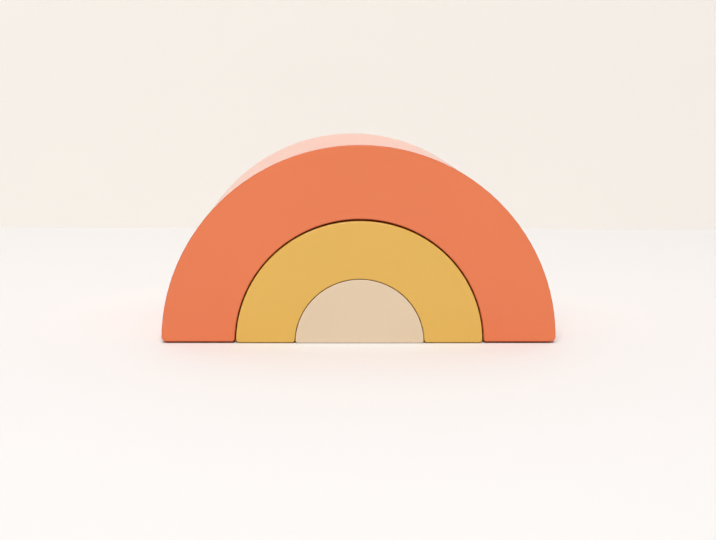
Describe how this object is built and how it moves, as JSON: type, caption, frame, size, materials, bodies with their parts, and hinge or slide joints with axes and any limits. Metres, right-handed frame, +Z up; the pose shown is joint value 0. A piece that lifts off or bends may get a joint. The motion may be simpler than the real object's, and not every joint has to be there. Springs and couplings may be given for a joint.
{
  "type": "foam play block",
  "caption": "Nesting rainbow of soft foam play blocks: arches and a half-round in smooth zipped covers that stand inside one another and pull apart.",
  "frame": {"origin": "on the floor, under the common centre of the arcs and half-way between the front and back faces", "axes": "+X along the width from foot to foot, +Y from the front faces to the back faces, +Z up"},
  "size_m": [0.3998, 0.25, 0.2],
  "materials": {
    "coral_leatherette": "matt, fine grain, wipe-clean coating",
    "coral_zip_tape": "woven polyester tape",
    "coral_nylon": "satin nylon coil",
    "ochre_leatherette": "matt, fine grain, wipe-clean coating",
    "ochre_zip_tape": "woven polyester tape",
    "ochre_nylon": "satin nylon coil",
    "beige_leatherette": "matt, fine grain, wipe-clean coating",
    "beige_zip_tape": "woven polyester tape",
    "beige_nylon": "satin nylon coil",
    "foam": "open-cell polyurethane foam",
    "slider_enamel": "satin enamel"
  },
  "bodies": {
    "outer_block": {"outer_foam_core": "foam", "outer_front_panel": "coral_leatherette", "outer_back_panel": "coral_leatherette", "outer_crown_panel": "coral_leatherette", "outer_left_foot_panel": "coral_leatherette", "outer_right_foot_panel": "coral_leatherette", "outer_soffit_front_panel": "coral_leatherette", "outer_soffit_back_panel": "coral_leatherette", "outer_zip_tape_front": "coral_zip_tape", "outer_zip_tape_back": "coral_zip_tape", "outer_zip_coil_front": "coral_nylon", "outer_zip_coil_back": "coral_nylon", "outer_zip_top_stop": "coral_nylon", "outer_zip_bottom_stop": "coral_nylon", "outer_zip_garage": "coral_leatherette"},
    "outer_slider": {"outer_zip_slider": "slider_enamel"},
    "middle_block": {"middle_foam_core": "foam", "middle_front_panel": "ochre_leatherette", "middle_back_panel": "ochre_leatherette", "middle_crown_panel": "ochre_leatherette", "middle_left_foot_panel": "ochre_leatherette", "middle_right_foot_panel": "ochre_leatherette", "middle_soffit_front_panel": "ochre_leatherette", "middle_soffit_back_panel": "ochre_leatherette", "middle_zip_tape_front": "ochre_zip_tape", "middle_zip_tape_back": "ochre_zip_tape", "middle_zip_coil_front": "ochre_nylon", "middle_zip_coil_back": "ochre_nylon", "middle_zip_top_stop": "ochre_nylon", "middle_zip_bottom_stop": "ochre_nylon", "middle_zip_garage": "ochre_leatherette"},
    "middle_slider": {"middle_zip_slider": "slider_enamel"},
    "half_round_block": {"half_round_foam_core": "foam", "half_round_front_panel": "beige_leatherette", "half_round_back_panel": "beige_leatherette", "half_round_crown_panel": "beige_leatherette", "half_round_base_left_panel": "beige_leatherette", "half_round_base_right_panel": "beige_leatherette", "half_round_zip_tape_left": "beige_zip_tape", "half_round_zip_tape_right": "beige_zip_tape", "half_round_zip_coil_left": "beige_nylon", "half_round_zip_coil_right": "beige_nylon", "half_round_zip_top_stop": "beige_nylon", "half_round_zip_bottom_stop": "beige_nylon", "half_round_zip_garage": "beige_leatherette"},
    "half_round_slider": {"half_round_zip_slider": "slider_enamel"}
  },
  "joints": [
    {"name": "middle_pull", "type": "slide", "parent": "outer_block", "child": "middle_block", "axis": [0, -1, 0], "range_m": [-0.26, 0.26]},
    {"name": "half_round_pull", "type": "slide", "parent": "middle_block", "child": "half_round_block", "axis": [0, -1, 0], "range_m": [-0.26, 0.26]},
    {"name": "outer_zip_run", "type": "hinge", "parent": "outer_block", "child": "outer_slider", "pos_m": [0, 0, 0], "axis": [0, 1, 0], "range_deg": [0, 150]},
    {"name": "middle_zip_run", "type": "hinge", "parent": "middle_block", "child": "middle_slider", "pos_m": [0, 0, 0], "axis": [0, 1, 0], "range_deg": [0, 123]},
    {"name": "half_round_zip_run", "type": "slide", "parent": "half_round_block", "child": "half_round_slider", "axis": [0, -1, 0], "range_m": [0, 0.185]}
  ]
}
